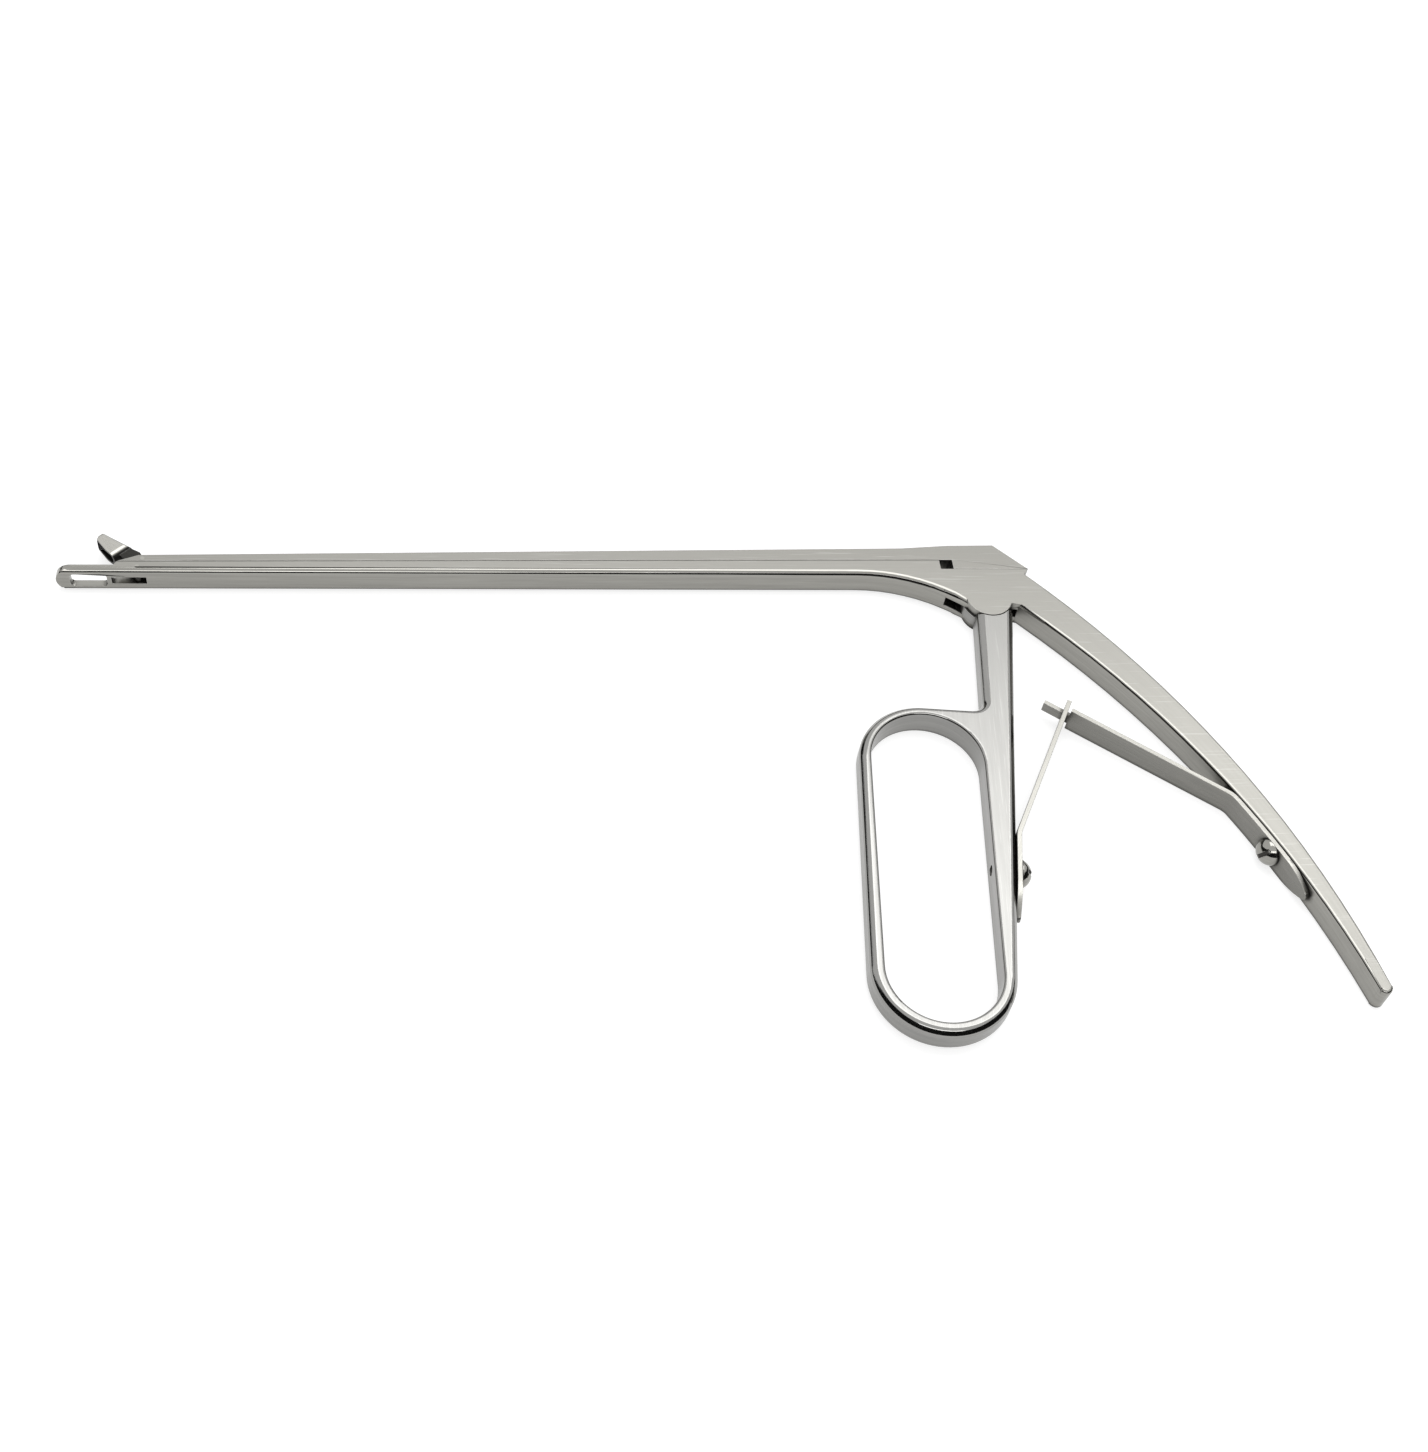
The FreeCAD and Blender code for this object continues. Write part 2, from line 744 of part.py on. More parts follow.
# Ring handle: shank and finger ring in the plate, with a thin tang that works the sliding shaft
shoulder = lobe + size("shoulder_gap")
ring_top = (size("ring_top_x"), size("ring_top_y"))
ring_low = (size("ring_low_x"), size("ring_low_y"))
top_outer = size("ring_top_radius") + size("rim_top")
low_outer = size("ring_low_radius") + size("rim_low")
shank_left = (size("shank_left_x"), size("shank_left_y"))
shank_right = (size("shank_right_x"), size("shank_right_y"))
shank_low = (size("shank_left_low_x"), size("shank_left_low_y"))
left_top, left_low = tangent_points(ring_top, top_outer, ring_low, low_outer, -1)
corner_tilt = math.degrees(math.acos(low_outer / math.dist(shank_right, ring_low)))
right_low = polar(low_outer, heading(ring_low, shank_right) - corner_tilt, ring_low)
crown = polar(top_outer, size("crown_angle"), ring_top)
shank_heading = heading(shank_low, shank_left)
crown_heading = size("crown_angle") - 90
throat = lines_meet(crown, crown_heading, shank_left, shank_heading)
throat_arc = corner_arc(throat, crown_heading + 180, shank_heading, size("throat_radius"))
shoulder_front = heading((0, 0), shank_left)
shoulder_rear = size("shoulder_rear")
crown_middle = (heading(ring_top, left_top) % 360 + size("crown_angle")) / 2
handle_outline = [
    (polar(shoulder, (shoulder_front + shoulder_rear) / 2), polar(shoulder, shoulder_rear)),
    shank_right,
    right_low,
    (polar(low_outer, -90, ring_low), left_low),
    left_top,
    (polar(top_outer, crown_middle, ring_top), crown),
    throat_arc[0],
    (throat_arc[1], throat_arc[2]),
    polar(shoulder, shoulder_front),
]
inner_left = tangent_points(ring_top, size("ring_top_radius"), ring_low, size("ring_low_radius"), -1)
inner_right = tangent_points(ring_top, size("ring_top_radius"), ring_low, size("ring_low_radius"), 1)
finger_outline = [
    (polar(size("ring_low_radius"), -90, ring_low), inner_left[1]),
    inner_left[0],
    (polar(size("ring_top_radius"), 90, ring_top), inner_right[0]),
    inner_right[1],
]
handle = plate_body("handle_forging", [handle_outline, finger_outline], "Sizes.plate")


def finger_edge(edge):
    """True for the side-face edges of the finger opening."""
    middle = edge.valueAt((edge.FirstParameter + edge.LastParameter) / 2)
    spot = (middle.x, middle.y)
    along = min(max((ring_top[1] - spot[1]) / (ring_top[1] - ring_low[1]), 0.0), 1.0)
    axis_x = ring_top[0] + (ring_low[0] - ring_top[0]) * along
    axis_y = min(max(spot[1], ring_low[1]), ring_top[1])
    reach = size("ring_top_radius") + size("rim_top") / 2
    return face_edge(edge) and math.dist(spot, (axis_x, axis_y)) < reach


def outer_edge(edge):
    """True for the side-face edges of the shank and the ring's outside, below the shoulder."""
    below = edge.BoundBox.YMax < shank_right[1] + 0.001
    return face_edge(edge) and below and edge.BoundBox.YLength > size("rim_top") and not finger_edge(edge)


dress_edges(handle, "Fillet", "Sizes.finger_round", finger_edge)
dress_edges(handle, "Chamfer", "Sizes.ring_chamfer", outer_edge)
TANG_Z = MID + " - Sizes.tang_thickness / 2"
neck_half = size("tang_neck") / 2
tang_lean = heading((0, 0), ball)
neck = plate_body(
    "tang_neck",
    [
        [
            polar(neck_half, tang_lean + 90),
            polar(neck_half * 2, tang_lean - 180),
            polar(neck_half, tang_lean - 90),
            polar(neck_half, tang_lean - 90, ball),
            polar(neck_half, tang_lean + 90, ball),
        ]
    ],
    "Sizes.tang_thickness",
    TANG_Z,
)
tang = fused(
    "tang",
    [
        rod("tang_disc", "Sizes.tang_disc", "Sizes.tang_thickness", (0, 0, TANG_Z)),
        rod("tang_ball", "Sizes.tang_ball", "Sizes.tang_thickness", (ball[0], ball[1], TANG_Z)),
        neck,
    ],
)

# Front leaf spring: places along the rear face of the shank, from its top corner downwards
face_lean = heading(shank_right, right_low)
face_out = Vector(*polar(1.0, face_lean + 90), 0)


def shank_point(distance, height):
    """A point at a distance down the rear face of the shank, at a height over it."""
    return polar(height, face_lean + 90, polar(distance, face_lean, shank_right))


front_screw_seat = shank_point(size("front_screw_at"), 0)
front_screw_hole = screw_hole("front_screw_hole", front_screw_seat, face_out, "Sizes.ring_low_radius")
pivot_bore = rod("pivot_bore", "Sizes.pivot_radius + Sizes.pin_gap", "Sizes.plate", (0, 0, 0))
tanged_handle = fused("handle_with_tang", [handle, tang])
keep("ring_handle", cut("ring_handle_cut", tanged_handle, [front_screw_hole, pivot_bore]))

# Pivot screw: slotted flush head on the lower side, blind end in the upper cheek
pivot_shank = rod(
    "pivot_shank",
    "Sizes.pivot_radius",
    "Sizes.plate - Sizes.pivot_skin - 2 * Sizes.pin_gap",
    (0, 0, "Sizes.pin_gap"),
)
pivot_head = rod("pivot_head", "Sizes.pivot_head_radius", "Sizes.pivot_head_height", (0, 0, 0))
pivot_body = fused("pivot_screw_body", [pivot_shank, pivot_head])
pivot_driver = block(
    "pivot_driver_slot",
    ("-2 * Sizes.pivot_head_radius", "-Sizes.pivot_slot / 2", "-1"),
    ("4 * Sizes.pivot_head_radius", "Sizes.pivot_slot", "1 + Sizes.pivot_head_height / 2"),
)
keep("handle_pivot_screw", cut("pivot_screw", pivot_body, [pivot_driver]))

# Leaf springs: a clamped foot, and a blade that leaves it in a bend and runs to the crossing point
leaf = size("leaf_thickness")
half_leaf = leaf / 2
leaf_low = (plate - size("leaf_width")) / 2
leaf_high = leaf_low + size("leaf_width")
crossing = (size("cross_x"), size("cross_y"))
seat_gap = size("leaf_seat")


def blade_line(start, lean, turn):
    """Centre of the bend, its end and the blade's heading, so that the blade aims at the crossing."""
    centre = polar(size("leaf_bend"), lean + 90 * turn, start)
    swing = 20.0
    for _ in range(30):
        end = polar(size("leaf_bend"), lean - 90 * turn + swing * turn, centre)
        swing = (heading(end, crossing) - lean) * turn
    return centre, end, lean + swing * turn


def bend_outline(start, lean, turn, beyond):
    """Side view of a blade: the bend, then a straight run that ends beyond the crossing point."""
    centre, end, aim = blade_line(start, lean, turn)
    far = polar(beyond, aim, crossing)
    sides = []
    for side in (half_leaf, -half_leaf):
        radius = size("leaf_bend") - side * turn
        first = polar(radius, lean - 90 * turn, centre)
        middle = polar(radius, (lean + aim) / 2 - 90 * turn, centre)
        last = polar(radius, aim - 90 * turn, centre)
        sides.append((first, middle, last, polar(side, aim + 90, far)))
    left, right = sides
    return [left[0], (left[1], left[2]), left[3], right[3], right[2], (right[1], right[0])]


def leaf_feature(node, shape):
    item = doc.addObject("Part::Feature", node + "_shape")
    item.Shape = shape
    keep(node, item)


def screw_cutter(seat, outward):
    radius = size("screw_radius") + size("pin_gap")
    start = flat(seat, plate / 2) - outward * leaf
    return Part.makeCylinder(radius, 4 * leaf, start, outward)


def tail_plan(tail, lean):
    """Plan of a foot that tapers to a small round tail, as a prism that stands across the leaf."""
    along = Vector(*polar(1.0, lean), 0)
    across = Vector(*polar(1.0, lean + 90), 0)
    tip = flat(tail, plate / 2) - across * 4 * leaf
    half = size("leaf_width") / 2
    taper = size("tail_taper")
    small = size("tail_tip")

    def spot(back, side):
        return tip - along * back + Vector(0, 0, side)

    edges = [
        Part.LineSegment(spot(100, -half), spot(taper, -half)),
        Part.Arc(spot(taper, -half), spot(taper / 2, -0.82 * half), spot(small / 2, -small)),
        Part.Arc(spot(small / 2, -small), spot(0, 0), spot(small / 2, small)),
        Part.Arc(spot(small / 2, small), spot(taper / 2, 0.82 * half), spot(taper, half)),
        Part.LineSegment(spot(taper, half), spot(100, half)),
        Part.LineSegment(spot(100, half), spot(100, -half)),
    ]
    return Part.Face(Part.Wire([edge.toShape() for edge in edges])).extrude(across * 8 * leaf)


# Front foot, flat on the shank
foot_top = size("front_foot_top")
foot_end = size("front_foot_end")
foot = prism(
    [
        shank_point(foot_top, seat_gap),
        shank_point(foot_end, seat_gap),
        shank_point(foot_end, seat_gap + leaf),
        shank_point(foot_top, seat_gap + leaf),
    ],
    leaf_low,
    leaf_high,
)
foot = foot.common(tail_plan(shank_point(foot_end, seat_gap), face_lean))
leaf_feature("front_spring_foot", foot.cut(screw_cutter(front_screw_seat, face_out)))

# Front blade, with a slot that the tongue of the rear blade passes through
front_start = shank_point(foot_top - size("leaf_gap"), seat_gap + half_leaf)
front_lean = face_lean + 180
front_aim = blade_line(front_start, front_lean, -1)[2]
front_blade = prism(bend_outline(front_start, front_lean, -1, size("plate_beyond")), leaf_low, leaf_high)
slot_half = size("slot_height") / 2
slot_width = size("tongue_width") + 2 * size("slot_play")
slot_corner = Vector(-slot_half, -2 * leaf, -slot_width / 2)
tongue_slot = Part.makeBox(size("slot_height"), 4 * leaf, slot_width, slot_corner)
tongue_slot.rotate(Vector(0, 0, 0), Vector(0, 0, 1), front_aim)
tongue_slot.translate(flat(crossing, plate / 2))
leaf_feature("front_spring_blade", front_blade.cut(tongue_slot))

# Rear foot, curved with the rear handle
rear_top_angle = grip_angle("rear_foot_top")
rear_end_angle = grip_angle("rear_foot_end")
foot_outer = grip_radius - seat_gap
foot_inner = foot_outer - leaf
middle_angle = (rear_top_angle + rear_end_angle) / 2
rear_foot = prism(
    [
        polar(foot_outer, rear_top_angle, grip_centre),
        (polar(foot_outer, middle_angle, grip_centre), polar(foot_outer, rear_end_angle, grip_centre)),
        polar(foot_inner, rear_end_angle, grip_centre),
        (polar(foot_inner, middle_angle, grip_centre), polar(foot_inner, rear_top_angle, grip_centre)),
    ],
    leaf_low,
    leaf_high,
)
rear_tail = polar(foot_outer, rear_end_angle, grip_centre)
rear_foot = rear_foot.common(tail_plan(rear_tail, rear_end_angle - 90))
leaf_feature("rear_spring_foot", rear_foot.cut(screw_cutter(rear_screw_seat, rear_screw_out)))

# Rear blade, with its narrow tongue through the slot
gap_angle = math.degrees(size("leaf_gap") / grip_radius)
rear_start = polar(foot_outer - half_leaf, rear_top_angle + gap_angle, grip_centre)
rear_lean = rear_top_angle + gap_angle + 90
rear_aim = blade_line(rear_start, rear_lean, 1)[2]
rear_blade = prism(bend_outline(rear_start, rear_lean, 1, -size("shoulder_back")), leaf_low, leaf_high)
tongue = Part.makeBox(
    size("shoulder_back") + size("tongue_length") + leaf,
    leaf,
    size("tongue_width"),
    Vector(-size("shoulder_back") - leaf, -half_leaf, -size("tongue_width") / 2),
)
tongue.rotate(Vector(0, 0, 0), Vector(0, 0, 1), rear_aim)
tongue.translate(flat(crossing, plate / 2))
leaf_feature("rear_spring_blade", rear_blade.fuse(tongue).removeSplitter())


def spring_screw(node, seat, outward, length):
    """Round-head slotted screw: dome head on the leaf, shank through it into the handle."""
    radius = size("screw_head_radius")
    height = size("screw_head_height")
    dome = (radius ** 2 + height ** 2) / (2 * height)
    ball_centre = Vector(0, 0, height - dome)
    head = Part.makeSphere(dome, ball_centre).common(Part.makeCylinder(radius, height))
    shank = Part.makeCylinder(size("screw_radius"), length + leaf, Vector(0, 0, -length - leaf))
    driver = Part.makeBox(4 * radius, size("screw_slot_width"), height)
    driver.translate(Vector(-2 * radius, -size("screw_slot_width") / 2, height - size("screw_slot_depth")))
    item = doc.addObject("Part::Feature", node + "_shape")
    item.Shape = head.fuse(shank).removeSplitter().cut(driver)
    seat_point = flat(seat, plate / 2) + outward * (leaf + 2 * seat_gap)
    item.Placement = Placement(seat_point, Rotation(Vector(0, 0, 1), outward))
    keep(node, item)


leg_wall = lines_meet(front_screw_seat, face_lean - 90, inner_right[0], heading(*inner_right))
leg_width = math.dist(front_screw_seat, leg_wall)
spring_screw("front_spring_screw", front_screw_seat, face_out, leg_width - 2 * seat_gap)
spring_screw("rear_spring_screw", rear_screw_seat, rear_screw_out, size("screw_depth") - 2 * seat_gap)

# Every object has to have built, and every sub-part has to be a sound solid, before anything is written
doc.recompute()
for item in doc.Objects:
    if "Invalid" in item.State or "Error" in item.State:
        raise RuntimeError("%s did not build: %s" % (item.Name, item.State))
for node, item in sub_parts.items():
    if item.Shape.isNull() or not item.Shape.isValid():
        raise RuntimeError(node + " has no sound shape")
os.makedirs("parts", exist_ok=True)
for node, item in sub_parts.items():
    item.Shape.exportStep("parts/%s.step" % node)
    print(node, round(item.Shape.Volume, 2), len(item.Shape.Solids))
print("front blade hinge", front_start, "rear blade hinge", rear_start)
print("stroke", stroke, "tang", size("tang_lever") * math.radians(size("handle_swing")))
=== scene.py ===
import math

import bmesh
import bpy
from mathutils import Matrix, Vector


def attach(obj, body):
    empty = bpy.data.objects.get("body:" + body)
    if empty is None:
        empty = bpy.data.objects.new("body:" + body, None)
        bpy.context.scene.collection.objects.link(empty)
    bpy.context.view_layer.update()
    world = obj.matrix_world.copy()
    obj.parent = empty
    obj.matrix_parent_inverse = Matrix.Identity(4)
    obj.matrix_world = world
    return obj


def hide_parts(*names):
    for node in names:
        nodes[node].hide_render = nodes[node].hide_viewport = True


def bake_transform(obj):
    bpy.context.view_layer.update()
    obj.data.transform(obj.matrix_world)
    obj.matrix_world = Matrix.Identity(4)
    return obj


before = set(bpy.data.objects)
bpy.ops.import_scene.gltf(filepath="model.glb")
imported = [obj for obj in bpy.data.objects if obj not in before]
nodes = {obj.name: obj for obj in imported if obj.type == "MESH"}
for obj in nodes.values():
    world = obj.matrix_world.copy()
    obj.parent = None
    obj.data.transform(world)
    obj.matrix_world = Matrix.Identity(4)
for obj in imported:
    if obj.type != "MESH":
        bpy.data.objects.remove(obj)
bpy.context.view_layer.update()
mm = 0.001
print("frame loaded:", len(nodes), "nodes")


# small tools
cleanup = {
    "mergeDistance": 0.002,  # mm
    "flatAngle": 0.4,  # degrees between facets that still count as one flat face
    "smoothAngle": 40,  # degrees, sharper edges stay sharp
    "normalWeight": 60,
    "wideFace": 4.0,  # square mm, larger side faces stay dead flat
    "levelTilt": 0.999,  # least Z of a side face's normal
}

bevelRules = {
    "slope": 0.707,  # Z of a ground bevel's normal
    "slopeSlack": 0.02,
    "wallTilt": 0.03,  # most Z of a wall's normal
    "sideTilt": 0.97,  # least Z of a side face's normal
    "turn": (38, 52),  # degrees between a bevel and the face beside it
    "polished": (0.05, 0.97),  # Z of the normals of all faces that the wheel polishes
    "pinReach": 0.6,  # mm round a flush pin where edges stay sharp
    "softSegments": 4,
}


def deselectAll():
    if bpy.context.mode != "OBJECT":
        bpy.ops.object.mode_set(mode="OBJECT")
    bpy.ops.object.select_all(action="DESELECT")


def makeActive(piece):
    deselectAll()
    piece.select_set(True)
    bpy.context.view_layer.objects.active = piece


def copyNode(nodeName, pieceName):
    piece = bpy.data.objects.new(pieceName, nodes[nodeName].data.copy())
    bpy.context.scene.collection.objects.link(piece)
    makeActive(piece)
    bpy.ops.mesh.customdata_custom_splitnormals_clear()
    bpy.ops.object.mode_set(mode="EDIT")
    bpy.ops.mesh.select_mode(type="VERT")
    bpy.ops.mesh.select_all(action="SELECT")
    bpy.ops.mesh.remove_doubles(threshold=cleanup["mergeDistance"] * mm)
    bpy.ops.mesh.dissolve_limited(angle_limit=math.radians(cleanup["flatAngle"]))
    bpy.ops.object.mode_set(mode="OBJECT")
    return piece


def applyModifier(piece, modifier):
    makeActive(piece)
    bpy.ops.object.modifier_apply(modifier=modifier.name)


def markEdges(piece, wanted):
    # weight 1 on the edges that the next bevel rounds
    mesh = bmesh.new()
    mesh.from_mesh(piece.data)
    name = "bevel_weight_edge"
    weight = mesh.edges.layers.float.get(name) or mesh.edges.layers.float.new(name)
    for edge in mesh.edges:
        edge[weight] = 1.0 if len(edge.link_faces) == 2 and wanted(edge) else 0.0
    mesh.to_mesh(piece.data)
    mesh.free()


def bevelMarked(piece, width, segments, tag):
    # the new faces carry 1 in the tag, for the material to read
    piece.data.materials.clear()
    piece.data.materials.append(None)
    piece.data.materials.append(None)
    for face in piece.data.polygons:
        face.material_index = 0
    bevel = piece.modifiers.new("edges", "BEVEL")
    bevel.width = width * mm
    bevel.segments = segments
    bevel.limit_method = "WEIGHT"
    bevel.use_clamp_overlap = False
    bevel.miter_outer = "MITER_ARC"
    bevel.material = 1
    applyModifier(piece, bevel)
    edge = piece.data.attributes.get(tag) or piece.data.attributes.new(tag, "FLOAT", "FACE")
    for face in piece.data.polygons:
        edge.data[face.index].value = max(edge.data[face.index].value, float(face.material_index))
        face.material_index = 0


def softenBevels(piece, width, reach=(-math.inf, math.inf)):
    # the wheel leaves the ground bevels polished and running softly into the faces beside them
    slope, slack = bevelRules["slope"], bevelRules["slopeSlack"]
    leastTurn, mostTurn = bevelRules["turn"]
    leastTilt, mostTilt = bevelRules["polished"]

    def wanted(edge):
        lower, higher = sorted(abs(face.normal.z) for face in edge.link_faces)
        toWall = lower < bevelRules["wallTilt"] and abs(higher - slope) < slack
        toSide = higher > bevelRules["sideTilt"] and abs(lower - slope) < slack
        inside = reach[0] < (edge.verts[0].co.x + edge.verts[1].co.x) / (2 * mm) < reach[1]
        turn = math.degrees(edge.calc_face_angle(0.0))
        return inside and (toWall or toSide) and leastTurn < turn < mostTurn

    markEdges(piece, wanted)
    bevelMarked(piece, width, bevelRules["softSegments"], "softEdge")
    for face in piece.data.polygons:
        if leastTilt < abs(face.normal.z) < mostTilt:
            piece.data.attributes["softEdge"].data[face.index].value = 1.0


def breakEdges(piece, width, segments=3, angle=32, flush=()):
    # a ground edge is never dead sharp, but a pin sits flush in its hole
    def wanted(edge):
        middle = (edge.verts[0].co + edge.verts[1].co) / (2 * mm)
        atPin = any(math.dist(middle[:2], spot) < bevelRules["pinReach"] for spot in flush)
        return math.degrees(edge.calc_face_angle(0.0)) > angle and not atPin

    markEdges(piece, wanted)
    bevelMarked(piece, width, segments, "brokenEdge")


def smoothShade(piece):
    makeActive(piece)
    bpy.ops.object.shade_smooth_by_angle(angle=math.radians(cleanup["smoothAngle"]))
    for face in piece.data.polygons:
        level = abs(face.normal.z) > cleanup["levelTilt"]
        if level and face.area > cleanup["wideFace"] * mm * mm:
            face.use_smooth = False
    weighted = piece.modifiers.new("weightedNormals", "WEIGHTED_NORMAL")
    weighted.weight = cleanup["normalWeight"]
    weighted.keep_sharp = True
    applyModifier(piece, weighted)


def dress(piece, material, slotName):
    piece.data.materials.clear()
    piece.data.materials.append(material)


# camera at the photograph's viewing angle
view = {
    "place": (-124.57, -274.29, 320.94),  # mm, in the part's frame
    "turn": (37.529, -6.460, -5.504),  # degrees about X, Y and Z
    "lens": 47.58,
    "filmHeight": 36.0,
    "clipStart": 0.01,  # m
}

cameraData = bpy.data.cameras.new("photoCamera")
cameraData.sensor_fit = "VERTICAL"
cameraData.sensor_height = view["filmHeight"]
cameraData.lens = view["lens"]
cameraData.clip_start = view["clipStart"]
camera = bpy.data.objects.new("photoCamera", cameraData)
camera.location = [v * mm for v in view["place"]]
camera.rotation_euler = [math.radians(a) for a in view["turn"]]
bpy.context.scene.collection.objects.link(camera)
bpy.context.scene.camera = camera
print("camera set")


# node tools
def addNode(tree, kind, settings=None, **sockets):
    node = tree.nodes.new(kind)
    for key, value in (settings or {}).items():
        setattr(node, key, value)
    for key, value in sockets.items():
        socket = node.inputs[int(key[1:])] if key[0] == "i" and key[1:].isdigit() else node.inputs[key]
        if isinstance(value, bpy.types.NodeSocket):
            tree.links.new(value, socket)
        else:
            socket.default_value = value
    return node


def mathNode(tree, operation, first, second=0.0, clamp=False):
    settings = {"operation": operation, "use_clamp": clamp}
    return addNode(tree, "ShaderNodeMath", settings, i0=first, i1=second).outputs[0]


def mapRange(tree, value, low, high, toLow=0.0, toHigh=1.0):
    node = addNode(tree, "ShaderNodeMapRange", {"interpolation_type": "SMOOTHSTEP"}, i0=value)
    for index, number in enumerate((low, high, toLow, toHigh), start=1):
        node.inputs[index].default_value = number
    return node.outputs[0]


def mixColour(tree, factor, first, second):
    node = addNode(tree, "ShaderNodeMix", {"data_type": "RGBA"}, i0=factor)
    for socket, value in ((node.inputs[6], first), (node.inputs[7], second)):
        if isinstance(value, bpy.types.NodeSocket):
            tree.links.new(value, socket)
        else:
            socket.default_value = value
    return node.outputs[2]


def mixValue(tree, factor, first, second):
    return addNode(tree, "ShaderNodeMix", {"data_type": "FLOAT"}, i0=factor, i2=first, i3=second).outputs[0]


def newGroup(name, inputs, outputs):
    tree = bpy.data.node_groups.new(name, "ShaderNodeTree")
    for label, kind, value in inputs:
        socket = tree.interface.new_socket(name=label, in_out="INPUT", socket_type="NodeSocket" + kind)
        if value is not None:
            socket.default_value = value
    for label, kind in outputs:
        tree.interface.new_socket(name=label, in_out="OUTPUT", socket_type="NodeSocket" + kind)
    return tree, tree.nodes.new("NodeGroupInput").outputs, tree.nodes.new("NodeGroupOutput").inputs


# shared effect: grinding lines, long along X of the grain space and fine across it
grinding = {
    "long": 90.0,  # waves in a metre along the lines
    "across": 2600.0,  # waves in a metre across them
    "fine": (1.0, 2.2),  # factors on both for the fine lines
    "broad": (0.4, 0.45),
    "broadShare": 0.45,
    "lineRange": (0.36, 0.64),
    "cloud": (0.25, 0.03),
    "cloudRange": (0.35, 0.65),
    "wallFlattening": 0.035,  # how little the lines on a wall change along the plate's Y
}


def buildGrindingLines():
    tree, given, result = newGroup(
        "grindingLines",
        [
            ("Grain Space", "Vector", None),
            ("Lines Long", "Float", grinding["long"]),
            ("Lines Across", "Float", grinding["across"]),
        ],
        [("Lines", "Float"), ("Cloud", "Float")],
    )

    def stretched(longFactor, acrossFactor):
        along = mathNode(tree, "MULTIPLY", given["Lines Long"], longFactor)
        across = mathNode(tree, "MULTIPLY", given["Lines Across"], acrossFactor)
        scale = addNode(tree, "ShaderNodeCombineXYZ", None, i0=along, i1=across, i2=across).outputs[0]
        return addNode(
            tree, "ShaderNodeVectorMath", {"operation": "MULTIPLY"}, i0=given["Grain Space"], i1=scale
        ).outputs[0]

    def lines(vector, detail):
        return addNode(
            tree, "ShaderNodeTexNoise", None, Vector=vector, Scale=1.0, Detail=detail, Roughness=0.6
        ).outputs[0]

    fine = lines(stretched(*grinding["fine"]), 3.0)
    broad = lines(stretched(*grinding["broad"]), 2.0)
    both = mixValue(tree, grinding["broadShare"], fine, broad)
    tree.links.new(mapRange(tree, both, *grinding["lineRange"]), result["Lines"])
    cloud = lines(stretched(*grinding["cloud"]), 2.0)
    tree.links.new(mapRange(tree, cloud, *grinding["cloudRange"]), result["Cloud"])
    return tree


# shared effect: sparse handling scratches that cross the grain
handling = {
    "headings": ((24, 0.0), (-37, 3.1), (71, 7.7)),  # degrees to the grain, and a shift of the noise
    "waves": (70, 3800, 400),  # in a metre along, across and through
    "scratchRange": (0.69, 0.76),
    "wearRange": (0.35, 0.65),
    "leastWear": 0.35,
    "filmRange": (0.97, 0.7),  # openness at which the painted shade starts, and at which it is full
    "filmSamples": 8,
}


def buildHairScratches():
    tree, given, result = newGroup(
        "hairScratches",
        [("Grain Space", "Vector", None), ("Amount", "Float", 0.5)],
        [("Scratches", "Float")],
    )
    found = []
    for heading, shift in handling["headings"]:
        turned = addNode(tree, "ShaderNodeMapping", None, Vector=given["Grain Space"])
        turned.inputs["Rotation"].default_value = (0, 0, math.radians(heading))
        turned.inputs["Location"].default_value = (shift, shift, 0)
        turned.inputs["Scale"].default_value = handling["waves"]
        noise = addNode(
            tree, "ShaderNodeTexNoise", None, Vector=turned.outputs[0], Scale=1.0, Detail=1.0, Roughness=0.5
        ).outputs[0]
        found.append(mapRange(tree, noise, *handling["scratchRange"]))
    total = mathNode(tree, "MAXIMUM", mathNode(tree, "MAXIMUM", found[0], found[1]), found[2])
    tree.links.new(mathNode(tree, "MULTIPLY", total, given["Amount"]), result["Scratches"])
    return tree


# shared effect: broken edges polished by handling, in patches
def buildEdgeWear():
    tree, given, result = newGroup(
        "edgeWear", [("Spot Size", "Float", 700.0), ("Amount", "Float", 1.0)], [("Wear", "Float")]
    )
    edge = addNode(tree, "ShaderNodeAttribute", {"attribute_name": "brokenEdge"}).outputs["Fac"]
    place = addNode(tree, "ShaderNodeTexCoord").outputs["Object"]
    patches = addNode(
        tree, "ShaderNodeTexNoise", None, Vector=place, Scale=given["Spot Size"], Detail=2.0
    ).outputs[0]
    patchy = mapRange(tree, patches, *handling["wearRange"], handling["leastWear"], 1.0)
    worn = mathNode(tree, "MULTIPLY", mathNode(tree, "MULTIPLY", edge, patchy), given["Amount"])
    tree.links.new(worn, result["Wear"])
    return tree


# shared effect: painted shade, darker in corners, slots, gaps and close to the floor, found by ambient
# occlusion
def buildPaintedCornerShade():
    tree, given, result = newGroup(
        "paintedCornerShade", [("Amount", "Float", 0.5), ("Reach", "Float", 0.0014)], [("Painted Shade", "Float")]
    )
    shade = addNode(
        tree,
        "ShaderNodeAmbientOcclusion",
        {"samples": handling["filmSamples"]},
        Distance=given["Reach"],
    ).outputs["AO"]
    hidden = mapRange(tree, shade, *handling["filmRange"])
    tree.links.new(mathNode(tree, "MULTIPLY", hidden, given["Amount"]), result["Painted Shade"])
    return tree


# shared effect: 1 on the two ground side faces, 0 on the walls between them, where the materials paint a
# darker shaded tone
sideRange = (0.3, 0.68)  # Z of the normal, from wall to side face


def buildSideFaces():
    tree, given, result = newGroup("sideFaces", [], [("Side", "Float")])
    normal = addNode(tree, "ShaderNodeTexCoord").outputs["Normal"]
    up = addNode(tree, "ShaderNodeSeparateXYZ", None, i0=normal).outputs[2]
    tilt = mathNode(tree, "ABSOLUTE", up)
    tree.links.new(mapRange(tree, tilt, *sideRange), result["Side"])
    return tree


